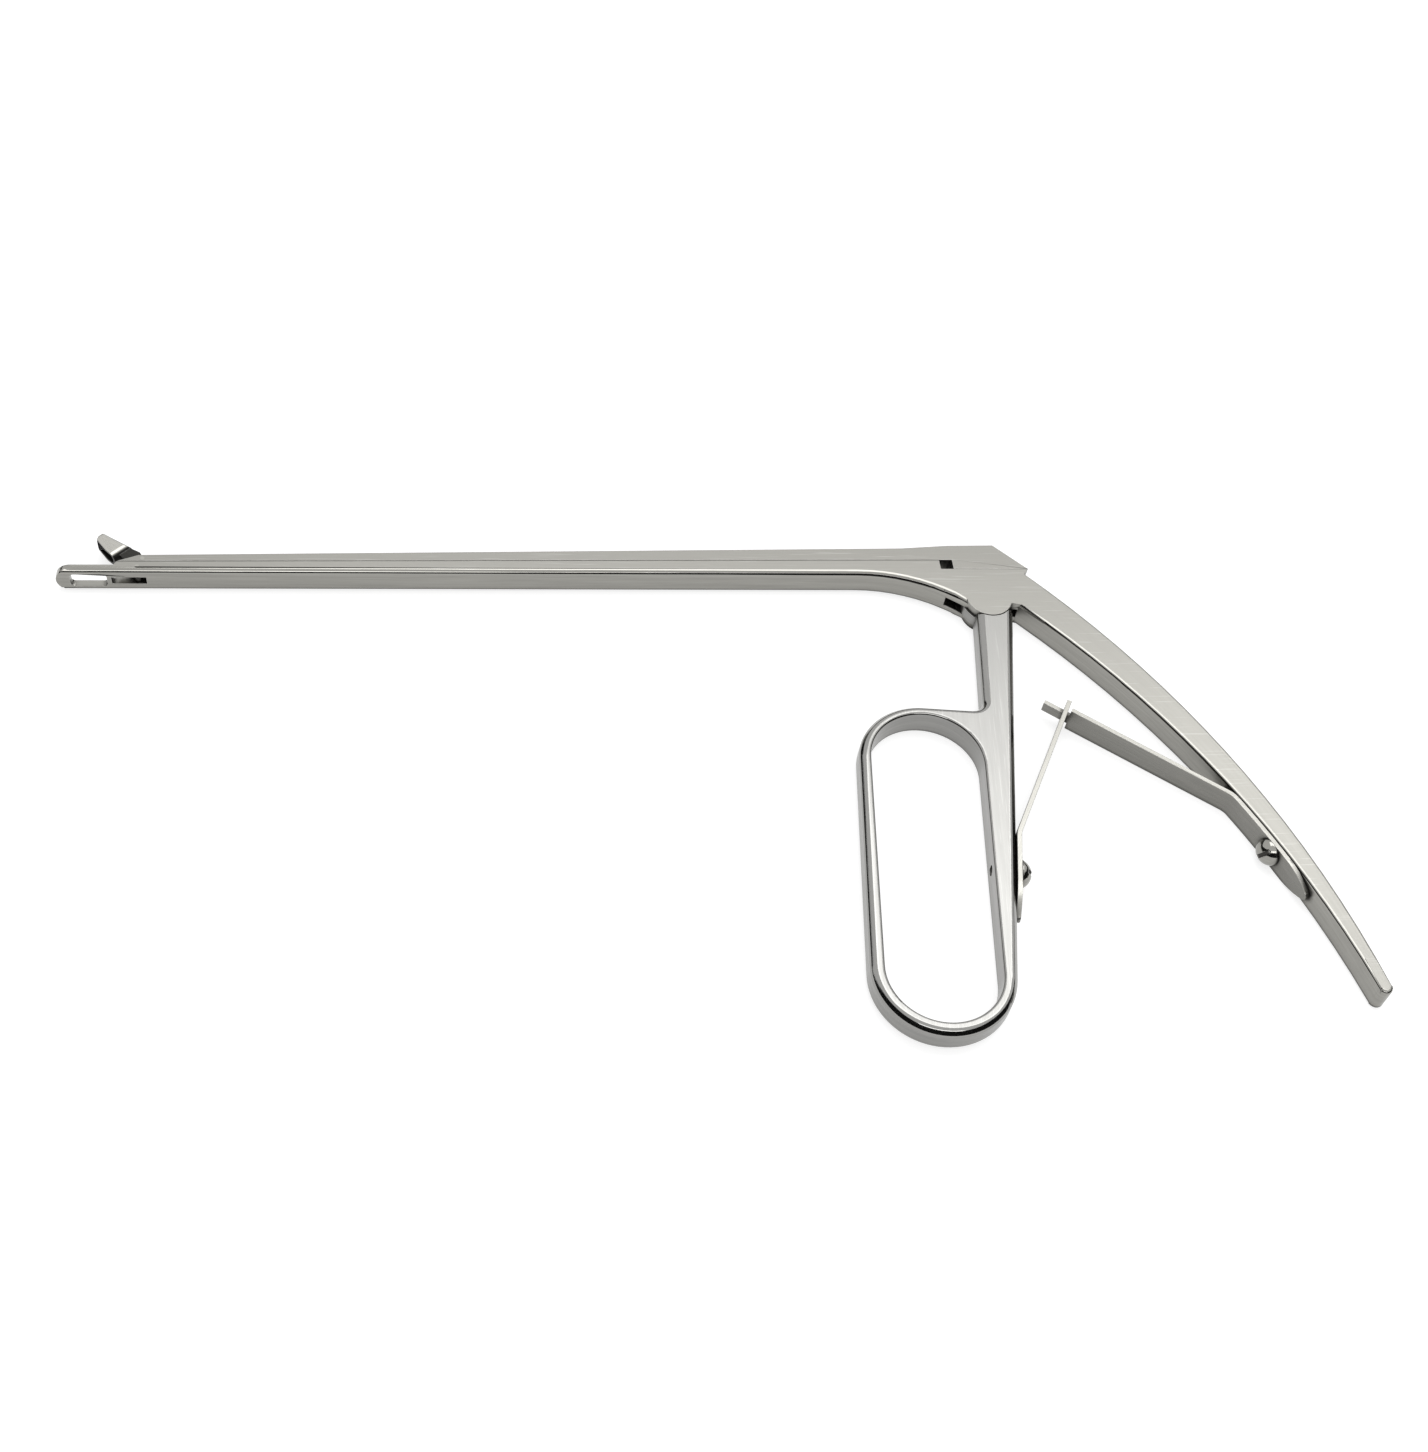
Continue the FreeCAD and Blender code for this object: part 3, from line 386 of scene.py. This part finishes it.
# shared effect: grain space whose X runs round a centre, for curved handles
def buildArcSpace():
    tree, given, result = newGroup(
        "arcSpace",
        [("Centre", "Vector", (0.0, 0.0, 0.0)), ("Radius", "Float", 0.2)],
        [("Grain Space", "Vector")],
    )
    place = addNode(tree, "ShaderNodeTexCoord").outputs["Object"]
    offset = addNode(
        tree, "ShaderNodeVectorMath", {"operation": "SUBTRACT"}, i0=place, i1=given["Centre"]
    ).outputs[0]
    axes = addNode(tree, "ShaderNodeSeparateXYZ", None, i0=offset).outputs
    angle = mathNode(tree, "ARCTAN2", axes[1], axes[0])
    flatOffset = addNode(tree, "ShaderNodeCombineXYZ", None, i0=axes[0], i1=axes[1]).outputs[0]
    reach = addNode(tree, "ShaderNodeVectorMath", {"operation": "LENGTH"}, i0=flatOffset).outputs["Value"]
    along = mathNode(tree, "MULTIPLY", angle, given["Radius"])
    space = addNode(tree, "ShaderNodeCombineXYZ", None, i0=along, i1=reach, i2=axes[2]).outputs[0]
    tree.links.new(space, result["Grain Space"])
    return tree


effects = {
    "lines": buildGrindingLines(),
    "scratches": buildHairScratches(),
    "wear": buildEdgeWear(),
    "film": buildPaintedCornerShade(),
    "sides": buildSideFaces(),
    "arc": buildArcSpace(),
}
print("shared effects built:", len(effects))


def useEffect(tree, name, **sockets):
    node = tree.nodes.new("ShaderNodeGroup")
    node.node_tree = effects[name]
    for key, value in sockets.items():
        socket = node.inputs[key.replace("_", " ")]
        if isinstance(value, bpy.types.NodeSocket):
            tree.links.new(value, socket)
        else:
            socket.default_value = value
    return node.outputs


def straightSpace(tree, heading):
    # grain space whose X points along a heading in the plate
    place = addNode(tree, "ShaderNodeTexCoord").outputs["Object"]
    mapping = addNode(tree, "ShaderNodeMapping", {"vector_type": "TEXTURE"}, Vector=place)
    mapping.inputs["Rotation"].default_value = (0, 0, math.radians(heading))
    return mapping.outputs[0]


def wallSpace(tree):
    # grain space for the walls round the plate: lines run along any wall, fine through its thickness
    place = addNode(tree, "ShaderNodeTexCoord").outputs["Object"]
    axes = addNode(tree, "ShaderNodeSeparateXYZ", None, i0=place).outputs
    flattened = mathNode(tree, "MULTIPLY", axes[1], grinding["wallFlattening"])
    return addNode(tree, "ShaderNodeCombineXYZ", None, i0=axes[0], i1=axes[2], i2=flattened).outputs[0]


def facePattern(tree, look, grain):
    # the grain is one space, or two spaces and the share of the second
    def lines(space):
        return useEffect(
            tree, "lines", Grain_Space=space, Lines_Long=look["long"], Lines_Across=look["across"]
        )

    if not isinstance(grain, tuple):
        found = lines(grain)
        return grain, found["Lines"], found["Cloud"]
    first, second = lines(grain[0]), lines(grain[1])
    return grain[0], mixValue(tree, grain[2], first["Lines"], second["Lines"]), first["Cloud"]


def outerFaces(tree, middle, inside, outside):
    # 1 on the faces furthest from the middle plane
    place = addNode(tree, "ShaderNodeTexCoord").outputs["Object"]
    height = addNode(tree, "ShaderNodeSeparateXYZ", None, i0=place).outputs[2]
    away = mathNode(tree, "ABSOLUTE", mathNode(tree, "SUBTRACT", height, middle * mm))
    return mapRange(tree, away, inside * mm, outside * mm)


def steelMaterial(name, look, grainSpace):
    material = bpy.data.materials.new(name)
    material.use_nodes = True
    tree = material.node_tree
    shader = tree.nodes["Principled BSDF"]
    space, lines, cloud = facePattern(tree, look, grainSpace(tree))
    wallLines = facePattern(tree, look, wallSpace(tree))[1]
    side = useEffect(tree, "sides")["Side"]
    if "outer" in look:
        side = mathNode(tree, "MULTIPLY", side, outerFaces(tree, *look["outer"]))
    scratches = useEffect(tree, "scratches", Grain_Space=space, Amount=look["scratches"])["Scratches"]
    scratches = mathNode(tree, "MULTIPLY", scratches, side)
    wear = useEffect(tree, "wear", Amount=look["wear"])["Wear"]
    # painted shade: the ambient-occlusion mask darkens corners, slots, seams and the feet of the walls
    film = useEffect(tree, "film", Amount=look["film"], Reach=look["filmReach"])["Painted Shade"]

    bright = mixColour(tree, lines, look["sideDark"], look["sideLight"])
    clouded = mixColour(tree, mathNode(tree, "MULTIPLY", cloud, look["cloud"]), bright, look["sideDark"])
    # the walls' darker tone is painted shade, standing in for the shadowed floor that the walls reflect
    walls = mixColour(tree, wallLines, look["wallDark"], look["wallLight"])
    ground = mixColour(tree, side, walls, clouded)
    scratched = mixColour(tree, scratches, ground, look["bare"])
    worn = mixColour(tree, wear, scratched, look["bare"])
    # the painted shade is laid over the colour last
    tree.links.new(mixColour(tree, film, worn, look["filmColour"]), shader.inputs["Base Color"])

    texture = mixValue(tree, side, wallLines, lines)
    rough, spread = look["rough"], look["roughSpread"]
    roughness = mapRange(tree, texture, 0.0, 1.0, rough + spread, rough - spread)
    softEdge = addNode(tree, "ShaderNodeAttribute", {"attribute_name": "softEdge"}).outputs["Fac"]
    roughness = mixValue(tree, softEdge, roughness, look["polish"])
    smoothed = mathNode(tree, "MULTIPLY", wear, look["wearSmooths"])
    roughness = mathNode(tree, "SUBTRACT", roughness, smoothed)
    dulled = mathNode(tree, "MULTIPLY", film, look["filmDulls"])
    roughness = mathNode(tree, "ADD", roughness, dulled, clamp=True)
    tree.links.new(roughness, shader.inputs["Roughness"])
    shader.inputs["Metallic"].default_value = 1.0

    dents = mathNode(tree, "MULTIPLY", scratches, look["scratchDepth"])
    height = mathNode(tree, "SUBTRACT", texture, dents)
    bump = addNode(
        tree, "ShaderNodeBump", None, Height=height, Strength=look["bump"], Distance=look["bumpDepth"]
    )
    tree.links.new(bump.outputs[0], shader.inputs["Normal"])
    return material


def steelLook(sideTone, wallShadeTone, warmth=1.0, **changes):
    # tones are linear greys of the ground faces and of the walls, a little warm; the walls' lower tone is
    # painted shade, standing in for the shadowed floor they reflect
    greenLoss, blueLoss = 0.018 * warmth, 0.09 * warmth
    sideContrast, wallContrast = 0.025, 0.08

    def tone(value):
        return (value, value * (1 - greenLoss), value * (1 - blueLoss), 1.0)

    look = {
        "sideDark": tone(sideTone * (1 - sideContrast)),
        "sideLight": tone(sideTone * (1 + sideContrast)),
        "wallDark": tone(wallShadeTone * (1 - wallContrast)),
        "wallLight": tone(wallShadeTone * (1 + wallContrast)),
        "bare": (0.86, 0.85, 0.83, 1.0),
        "filmColour": (0.035, 0.033, 0.03, 1.0),
        "long": grinding["long"],
        "across": grinding["across"],
        "cloud": 0.25,
        "scratches": 0.12,
        "wear": 0.2,
        # strength, reach and roughening of the painted shade in corners and gaps
        "film": 0.6,
        "filmReach": 0.0014,  # m
        "filmDulls": 0.3,
        "rough": 0.3,
        "roughSpread": 0.02,
        "polish": 0.09,  # roughness of the ground bevels
        "wearSmooths": 0.1,
        "bump": 0.07,
        "bumpDepth": 0.00002,  # m
        "scratchDepth": 0.6,
    }
    look.update(changes)
    return look


pinPlaces = {"hinge": (-185.6, 8.25), "drive": (-184.625, 10.547)}  # mm, the two jaw pins at rest

# fixed shaft, with the lower jaw and the rear handle
fixedShaft = {
    "broken": 0.12,  # mm, width of the broken edges
    "sharpest": 55,  # degrees, edges that turn more than this are broken
    "soft": 0.48,  # mm, how far the bevels' rounding reaches
    "handleSoft": 0.27,
    "handleStart": 9.0,  # mm along X, where the rear handle's slimmer bevels start
    "bowCentre": (-148.4, -144.0, 0.0),  # mm, the rear handle's curve
    "bowRadius": 215.0,
    "bowStart": 6.0,  # mm along X, where the grain starts to follow the handle
    "bowFull": 22.0,
}


def shaftGrain(tree):
    straight = straightSpace(tree, 0.0)
    centre = tuple(v * mm for v in fixedShaft["bowCentre"])
    arc = useEffect(tree, "arc", Centre=centre, Radius=fixedShaft["bowRadius"] * mm)["Grain Space"]
    place = addNode(tree, "ShaderNodeTexCoord").outputs["Object"]
    across = addNode(tree, "ShaderNodeSeparateXYZ", None, i0=place).outputs[0]
    share = mapRange(tree, across, fixedShaft["bowStart"] * mm, fixedShaft["bowFull"] * mm)
    return straight, arc, share


# shaft and slide take stronger painted shade, for the dark seam between them and the dark line along the
# feet of the walls
shaftSteel = steelMaterial("fixedShaftSteel", steelLook(0.315, 0.28, film=0.9), shaftGrain)
shaft = copyNode("fixed_shaft", "fixedShaft")
softenBevels(shaft, fixedShaft["soft"], reach=(-math.inf, fixedShaft["handleStart"]))
softenBevels(shaft, fixedShaft["handleSoft"], reach=(fixedShaft["handleStart"], math.inf))
breakEdges(shaft, fixedShaft["broken"], angle=fixedShaft["sharpest"], flush=pinPlaces.values())
smoothShade(shaft)
dress(shaft, shaftSteel, "frame_steel")
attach(shaft, "frame")
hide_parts("fixed_shaft")
print("fixed shaft done")

# sliding shaft
slidingShaft = {"broken": 0.1}

slideSteel = steelMaterial(
    "slidingShaftSteel", steelLook(0.3, 0.28, film=0.9), lambda tree: straightSpace(tree, 0.0)
)
slider = copyNode("sliding_shaft", "slidingShaft")
breakEdges(slider, slidingShaft["broken"], flush=pinPlaces.values())
smoothShade(slider)
dress(slider, slideSteel, "slide_steel")
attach(slider, "slide")
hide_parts("sliding_shaft")
print("sliding shaft done")

# upper jaw
upperJaw = {
    "broken": 0.07,
    "outer": (3.2, 1.2, 1.64),  # mm, middle plane, and the distances between which the cup's side starts; the faces nearer the middle, the heel and tail, take the near-black painted shade
    "heading": -40.0,  # degrees
}

# the jaw's walls, heel and tail get a near-black tone, painted shade for the dark wedge under the heel, and
# a wider, stronger painted shade in its corners
jawSteel = steelMaterial(
    "upperJawSteel",
    steelLook(
        0.44,
        0.04,
        rough=0.28,
        long=300.0,
        across=6000.0,
        film=1.0,
        filmReach=0.003,
        wear=0.1,
        outer=upperJaw["outer"],
    ),
    lambda tree: straightSpace(tree, upperJaw["heading"]),
)
jaw = copyNode("upper_jaw", "upperJaw")
breakEdges(jaw, upperJaw["broken"], 2)
smoothShade(jaw)
dress(jaw, jawSteel, "jaw_steel")
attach(jaw, "jaw")
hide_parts("upper_jaw")
print("upper jaw done")

# ring handle
ringHandle = {
    "broken": 0.14,
    "sharpest": 65,  # degrees
    "soft": 0.47,
    "heading": 84.2,  # degrees, along the finger opening
}

ringSteel = steelMaterial(
    "ringHandleSteel",
    steelLook(0.325, 0.26, warmth=0.5),
    lambda tree: straightSpace(tree, ringHandle["heading"]),
)
ring = copyNode("ring_handle", "ringHandle")
softenBevels(ring, ringHandle["soft"])
breakEdges(ring, ringHandle["broken"], angle=ringHandle["sharpest"])
smoothShade(ring)
dress(ring, ringSteel, "ring_steel")
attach(ring, "handle")
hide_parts("ring_handle")
print("ring handle done")

# pins and screws
pinsAndScrews = {"broken": 0.1, "turning": 30.0}  # degrees, the turning marks on the screw heads

pinSteel = steelMaterial("pinSteel", steelLook(0.37, 0.27), lambda tree: straightSpace(tree, 0.0))
# the screw heads take full painted shade in their slots
screwSteel = steelMaterial(
    "screwSteel",
    steelLook(0.33, 0.28, rough=0.1, long=700.0, across=2500.0, film=1.0),
    lambda tree: straightSpace(tree, pinsAndScrews["turning"]),
)
for nodeName, pieceName, body, slotName, material in (
    ("jaw_hinge_pin", "jawHingePin", "frame", "pin_steel", pinSteel),
    ("jaw_drive_pin", "jawDrivePin", "slide", "pin_steel", pinSteel),
    ("handle_pivot_screw", "handlePivotScrew", "frame", "screw_steel", screwSteel),
    ("front_spring_screw", "frontSpringScrew", "handle", "screw_steel", screwSteel),
    ("rear_spring_screw", "rearSpringScrew", "frame", "screw_steel", screwSteel),
):
    piece = copyNode(nodeName, pieceName)
    if material is screwSteel:
        breakEdges(piece, pinsAndScrews["broken"], 2)
    smoothShade(piece)
    dress(piece, material, slotName)
    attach(piece, body)
    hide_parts(nodeName)
print("pins and screws done")

# leaf springs: each is one strip, joined where its blade leaves the clamped foot
leafSprings = {
    "front": {
        "foot": "front_spring_foot",
        "blade": "front_spring_blade",
        "hinge": (-5.4497, -63.9466),  # mm, where the blade starts
        "bendEnd": (-3.53, -59.41),
        "bodies": ("handle", "front_blade"),
        "heading": 60.5,
    },
    "rear": {
        "foot": "rear_spring_foot",
        "blade": "rear_spring_blade",
        "hinge": (43.5747, -55.7392),
        "bendEnd": (40.6, -52.6),
        "bodies": ("frame", "rear_blade"),
        "heading": 142.0,
    },
    "broken": 0.08,
    "middle": 3.2,  # mm, height of the strips' middle
    "endReach": 0.35,  # mm round the hinge where the two end faces lie
}


def joinLeaf(spring, pieceName):
    foot = copyNode(spring["foot"], pieceName)
    blade = copyNode(spring["blade"], pieceName + "Blade")
    deselectAll()
    blade.select_set(True)
    foot.select_set(True)
    bpy.context.view_layer.objects.active = foot
    bpy.ops.object.join()
    bpy.ops.object.mode_set(mode="EDIT")
    bpy.ops.mesh.select_mode(type="FACE")
    bpy.ops.mesh.select_all(action="DESELECT")
    bpy.ops.object.mode_set(mode="OBJECT")
    start = Vector((*spring["hinge"], leafSprings["middle"])) * mm
    for face in foot.data.polygons:  # the two end faces that look at each other across the gap
        face.select = (face.center - start).length < leafSprings["endReach"] * mm
    chosen = sum(face.select for face in foot.data.polygons)
    bpy.ops.object.mode_set(mode="EDIT")
    if chosen == 2:
        bpy.ops.mesh.bridge_edge_loops()
    bpy.ops.object.mode_set(mode="OBJECT")
    print(pieceName, "faces bridged:", chosen)
    return foot


for key, pieceName in (("front", "frontLeafSpring"), ("rear", "rearLeafSpring")):
    spring = leafSprings[key]
    material = steelMaterial(
        pieceName + "Steel",
        steelLook(0.34, 0.2, rough=0.27, long=140.0, across=4200.0, wear=0.15),
        lambda tree: straightSpace(tree, spring["heading"]),
    )
    leaf = joinLeaf(spring, pieceName)
    breakEdges(leaf, leafSprings["broken"], 2)
    smoothShade(leaf)
    dress(leaf, material, "spring_steel")
    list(spring["bodies"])
    [v * mm for v in spring["hinge"]]
    [v * mm for v in spring["bendEnd"]]
    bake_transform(leaf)
    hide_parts(spring["foot"], spring["blade"])
print("leaf springs done")

# stage: white floor, plain studio light
studio = {
    "floorSize": 6.0,  # m
    "floorDrop": 0.02,  # mm under the rest face
    "floorRoughness": 0.9,
    "floorColour": (0.5, 0.5, 0.5, 1.0),
    "floorLift": 0.72,  # added for the camera, so the floor reads as paper white
    "skyPlain": 0.55,  # what lights the object and the floor; the camera and the steel see 1.0
    "lamps": (
        # name, place, target, size in metres, brightness as a surface value
        ("overheadSoftbox", (0.15, 0.31, 0.85), (0.15, 0.31, 0.0), (0.9, 0.62), 2.3),
        ("frontCard", (-0.05, -0.76, 0.69), (-0.05, -0.03, 0.0), (0.85, 0.19), 2.6),
    ),
    "flagSides": 64,
    "flagRadius": 1.3,  # m
    "flagHeight": 1.0,  # in front of the object
    "flagBackHeight": 0.22,
    "flagFall": 1.2,  # how fast the flags fall from the front height to the back height
    "flagLift": 0.02,
    "flagColour": (0.03, 0.03, 0.03, 1.0),
}

deselectAll()
bpy.ops.mesh.primitive_plane_add(size=studio["floorSize"], location=(0, 0, -studio["floorDrop"] * mm))
floor = bpy.context.object
floor.name = "studioFloor"
floorMaterial = bpy.data.materials.new("studioPaper")
floorMaterial.use_nodes = True
tree = floorMaterial.node_tree
shader = tree.nodes["Principled BSDF"]
shader.inputs["Base Color"].default_value = studio["floorColour"]
shader.inputs["Roughness"].default_value = studio["floorRoughness"]
shader.inputs["Emission Color"].default_value = (1, 1, 1, 1)
path = addNode(tree, "ShaderNodeLightPath").outputs
seen = mathNode(tree, "MAXIMUM", path["Is Camera Ray"], path["Is Glossy Ray"])
seen = mathNode(tree, "MAXIMUM", seen, path["Is Transmission Ray"])
tree.links.new(mathNode(tree, "MULTIPLY", seen, studio["floorLift"]), shader.inputs["Emission Strength"])
floor.data.materials.append(floorMaterial)

# black flags round the horizon, seen only in the steel, give its edges their dark line
bpy.ops.mesh.primitive_cylinder_add(
    vertices=studio["flagSides"],
    radius=studio["flagRadius"],
    depth=studio["flagHeight"],
    end_fill_type="NOTHING",
    location=(0, 0, studio["flagLift"] + studio["flagHeight"] / 2),
)
flags = bpy.context.object
flags.name = "studioFlags"
for vertex in flags.data.vertices:  # high in front of the object, low behind it
    front = min(1.0, max(0.0, 0.5 - studio["flagFall"] * vertex.co.y / studio["flagRadius"]))
    if vertex.co.z > 0:
        vertex.co.z -= (1.0 - front) * (studio["flagHeight"] - studio["flagBackHeight"])
flagMaterial = bpy.data.materials.new("blackFlag")
flagMaterial.use_nodes = True
shader = flagMaterial.node_tree.nodes["Principled BSDF"]
shader.inputs["Base Color"].default_value = studio["flagColour"]
shader.inputs["Roughness"].default_value = 1.0
shader.inputs["Specular IOR Level"].default_value = 0.0
flags.data.materials.append(flagMaterial)
flags.visible_camera = False
flags.visible_diffuse = False
flags.visible_transmission = False
flags.visible_shadow = False

world = bpy.data.worlds.new("studioWorld")
bpy.context.scene.world = world
world.use_nodes = True
tree = world.node_tree
background = tree.nodes["Background"]
background.inputs["Color"].default_value = (1, 1, 1, 1)
path = addNode(tree, "ShaderNodeLightPath").outputs
seen = mathNode(tree, "MAXIMUM", path["Is Camera Ray"], path["Is Glossy Ray"])
seen = mathNode(tree, "MAXIMUM", seen, path["Is Transmission Ray"])
tree.links.new(mapRange(tree, seen, 0.0, 1.0, studio["skyPlain"], 1.0), background.inputs["Strength"])

for lampName, place, target, lampSize, brightness in studio["lamps"]:
    lampData = bpy.data.lights.new(lampName, "AREA")
    lampData.shape = "RECTANGLE"
    lampData.size, lampData.size_y = lampSize
    lampData.energy = brightness * math.pi * lampSize[0] * lampSize[1]
    lamp = bpy.data.objects.new(lampName, lampData)
    lamp.location = place
    lamp.rotation_euler = (Vector(target) - Vector(place)).to_track_quat("-Z", "Y").to_euler()
    lamp.visible_camera = False
    bpy.context.scene.collection.objects.link(lamp)

bpy.context.scene.view_settings.view_transform = "Standard"
print("stage set")

deselectAll()
